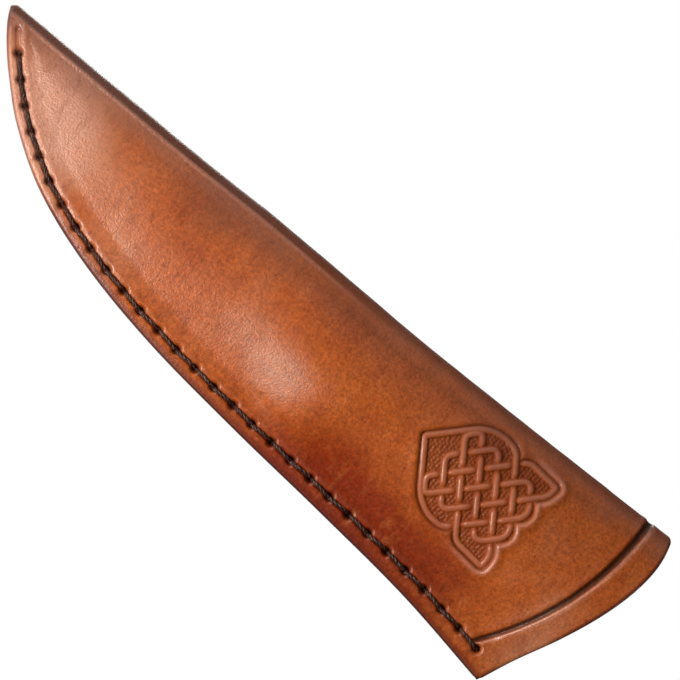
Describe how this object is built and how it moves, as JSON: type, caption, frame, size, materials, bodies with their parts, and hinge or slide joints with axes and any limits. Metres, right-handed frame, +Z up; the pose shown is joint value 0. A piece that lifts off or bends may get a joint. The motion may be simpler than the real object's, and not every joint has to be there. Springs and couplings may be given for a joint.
{
  "type": "knife sheath",
  "caption": "Folded leather pouch sheath for a small fixed-blade knife, saddle-stitched along its curved edge, with a tooled front and a belt loop on its back.",
  "frame": {"origin": "middle of the belt slot's top edge, between the back of the sheath and the belt loop", "axes": "+Z up towards the mouth along the folded spine, -Y out of the decorated front, +Y towards the wearer, +X from the spine to the stitched seam"},
  "size_m": [0.0465, 0.0212, 0.1715],
  "materials": {
    "tooled_leather": "saddle-tan vegetable-tanned leather with dark antique finish in its recesses, satin",
    "edge_leather": "dark burnished leather edge, satin",
    "plain_leather": "saddle-tan vegetable-tanned leather, satin, with dark burnished edges",
    "waxed_thread": "black waxed braided thread, slight sheen"
  },
  "bodies": {
    "root": {"sheath_body": "tooled_leather", "welt": "edge_leather", "seam_thread": "waxed_thread", "belt_loop": "plain_leather", "loop_thread_lower": "waxed_thread", "loop_thread_upper": "waxed_thread"}
  },
  "joints": []
}
